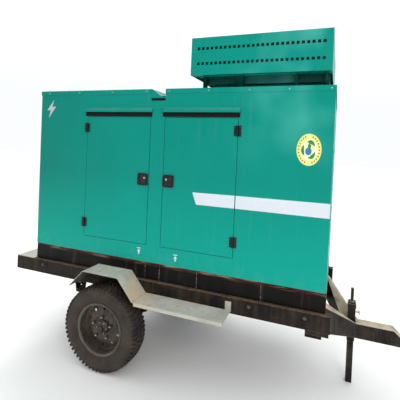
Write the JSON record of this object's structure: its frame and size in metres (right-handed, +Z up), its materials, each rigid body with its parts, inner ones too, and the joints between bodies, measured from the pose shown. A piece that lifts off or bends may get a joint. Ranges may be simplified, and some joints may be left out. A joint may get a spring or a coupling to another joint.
{
  "type": "towable diesel generator",
  "caption": "Soundproofed diesel generator canopy with side doors and a roof exhaust hood, on a two-wheel sprung trolley with a drawbar, towing eye and prop jack.",
  "frame": {"origin": "on the ground, under the middle of the whole machine", "axes": "+X forward along the drawbar, +Y to the left, +Z up"},
  "size_m": [3.7392, 1.5, 2.83],
  "materials": {
    "teal_paint": "semi-gloss teal enamel",
    "black_paint": "satin black enamel",
    "chassis_paint": "dusty worn black paint",
    "bare_plate": "dusty grey plate with rust",
    "tyre": "dusty matt rubber",
    "wheel_steel": "worn dark enamel",
    "bright_steel": "zinc plated",
    "black_plastic": "moulded",
    "engine_paint": "engine enamel",
    "grey_paint": "powder coat",
    "red_plastic": "moulded",
    "belt_rubber": "matt"
  },
  "bodies": {
    "frame": {"right_chassis_rail": "chassis_paint", "right_front_hanger": "chassis_paint", "right_rear_hanger": "chassis_paint", "right_drawbar_arm": "chassis_paint", "right_leaf_spring": "black_paint", "right_axle_clamp": "black_paint", "right_fender": "bare_plate", "right_side_panel": "teal_paint", "left_chassis_rail": "chassis_paint", "left_front_hanger": "chassis_paint", "left_rear_hanger": "chassis_paint", "left_drawbar_arm": "chassis_paint", "left_leaf_spring": "black_paint", "left_axle_clamp": "black_paint", "left_fender": "bare_plate", "left_side_panel": "teal_paint", "rear_cross_member": "chassis_paint", "centre_cross_member": "chassis_paint", "front_cross_member": "chassis_paint", "axle_beam": "chassis_paint", "tow_bar": "chassis_paint", "jack_sleeve": "chassis_paint", "rear_platform": "bare_plate", "base_skid": "black_paint", "fuel_tank": "black_paint", "radiator": "black_paint", "rear_end_panel": "teal_paint", "front_end_panel": "teal_paint", "rear_roof": "teal_paint", "front_roof": "teal_paint", "exhaust_hood": "teal_paint", "air_filter": "black_plastic", "battery": "black_plastic", "engine_block": "engine_paint", "alternator": "engine_paint", "silencer": "grey_paint", "control_panel": "grey_paint", "fan_belt": "belt_rubber"},
    "right_wheel": {"right_tyre": "tyre", "right_rim": "wheel_steel", "right_hub": "black_paint"},
    "left_wheel": {"left_tyre": "tyre", "left_rim": "wheel_steel", "left_hub": "black_paint"},
    "rear_right_door": {"rear_right_door": "teal_paint"},
    "rear_right_latch": {"rear_right_latch": "black_plastic"},
    "front_right_door": {"front_right_door": "teal_paint"},
    "front_right_latch": {"front_right_latch": "black_plastic"},
    "rear_left_door": {"rear_left_door": "teal_paint"},
    "rear_left_latch": {"rear_left_latch": "black_plastic"},
    "front_left_door": {"front_left_door": "teal_paint"},
    "front_left_latch": {"front_left_latch": "black_plastic"},
    "jack_leg": {"jack_leg": "chassis_paint"},
    "jack_clamp": {"jack_clamp_screw": "bright_steel"},
    "tow_eye": {"tow_eye": "bright_steel"},
    "crank": {"crank_pulley": "bright_steel"},
    "fan": {"cooling_fan": "black_plastic"},
    "fuel_cap": {"fuel_cap": "black_plastic"},
    "emergency_stop": {"emergency_stop": "red_plastic"},
    "key": {"key_switch": "bright_steel"}
  },
  "joints": [
    {"name": "right_wheel_spin", "type": "hinge", "parent": "frame", "child": "right_wheel", "pos_m": [-0.68963, -0.6545, 0.36324], "axis": [0, 1, 0], "continuous": true},
    {"name": "left_wheel_spin", "type": "hinge", "parent": "frame", "child": "left_wheel", "pos_m": [-0.68963, 0.6545, 0.36324], "axis": [0, 1, 0], "continuous": true},
    {"name": "rear_right_door_hinge", "type": "hinge", "parent": "frame", "child": "rear_right_door", "pos_m": [-1.07463, -0.528, 1.07], "axis": [0, 0, -1], "range_deg": [0, 120]},
    {"name": "rear_right_latch_pull", "type": "hinge", "parent": "rear_right_door", "child": "rear_right_latch", "pos_m": [-0.45513, -0.529, 1.674], "axis": [-1, 0, 0], "range_deg": [0, 35], "stiffness_Nm_per_rad": 0.6},
    {"name": "front_right_door_hinge", "type": "hinge", "parent": "frame", "child": "front_right_door", "pos_m": [0.39037, -0.528, 1.07], "axis": [0, 0, 1], "range_deg": [0, 120]},
    {"name": "front_right_latch_pull", "type": "hinge", "parent": "front_right_door", "child": "front_right_latch", "pos_m": [-0.20513, -0.529, 1.674], "axis": [-1, 0, 0], "range_deg": [0, 35], "stiffness_Nm_per_rad": 0.6},
    {"name": "rear_left_door_hinge", "type": "hinge", "parent": "frame", "child": "rear_left_door", "pos_m": [-1.07463, 0.528, 1.07], "axis": [0, 0, 1], "range_deg": [0, 120]},
    {"name": "rear_left_latch_pull", "type": "hinge", "parent": "rear_left_door", "child": "rear_left_latch", "pos_m": [-0.45513, 0.529, 1.674], "axis": [1, 0, 0], "range_deg": [0, 35], "stiffness_Nm_per_rad": 0.6},
    {"name": "front_left_door_hinge", "type": "hinge", "parent": "frame", "child": "front_left_door", "pos_m": [0.39037, 0.528, 1.07], "axis": [0, 0, -1], "range_deg": [0, 120]},
    {"name": "front_left_latch_pull", "type": "hinge", "parent": "front_left_door", "child": "front_left_latch", "pos_m": [-0.20513, 0.529, 1.674], "axis": [1, 0, 0], "range_deg": [0, 35], "stiffness_Nm_per_rad": 0.6},
    {"name": "jack_slide", "type": "slide", "parent": "frame", "child": "jack_leg", "axis": [0, 0, 1], "range_m": [0, 0.3]},
    {"name": "jack_clamp_turn", "type": "hinge", "parent": "frame", "child": "jack_clamp", "pos_m": [1.34117, 0, 0.6], "axis": [1, 0, 0], "range_deg": [0, 360]},
    {"name": "tow_eye_swivel", "type": "hinge", "parent": "frame", "child": "tow_eye", "pos_m": [1.73037, 0, 0.42], "axis": [1, 0, 0], "continuous": true},
    {"name": "crank_spin", "type": "hinge", "parent": "frame", "child": "crank", "pos_m": [0.56037, 0, 1.34], "axis": [1, 0, 0], "continuous": true},
    {"name": "fan_spin", "type": "hinge", "parent": "frame", "child": "fan", "pos_m": [0.65037, 0, 1.58], "axis": [1, 0, 0], "continuous": true},
    {"name": "fuel_cap_turn", "type": "hinge", "parent": "frame", "child": "fuel_cap", "pos_m": [-0.96963, -0.38, 1.0053], "axis": [0, 0, 1], "range_deg": [0, 90]},
    {"name": "emergency_stop_press", "type": "slide", "parent": "frame", "child": "emergency_stop", "axis": [0, 1, 0], "range_m": [0, 0.006], "stiffness_N_per_m": 600},
    {"name": "key_turn", "type": "hinge", "parent": "frame", "child": "key", "pos_m": [-0.56963, -0.4403, 1.98], "axis": [0, -1, 0], "range_deg": [0, 90]}
  ],
  "couplings": [
    {"joint": "fan_spin", "follows": "crank_spin", "ratio": 1.3226}
  ]
}
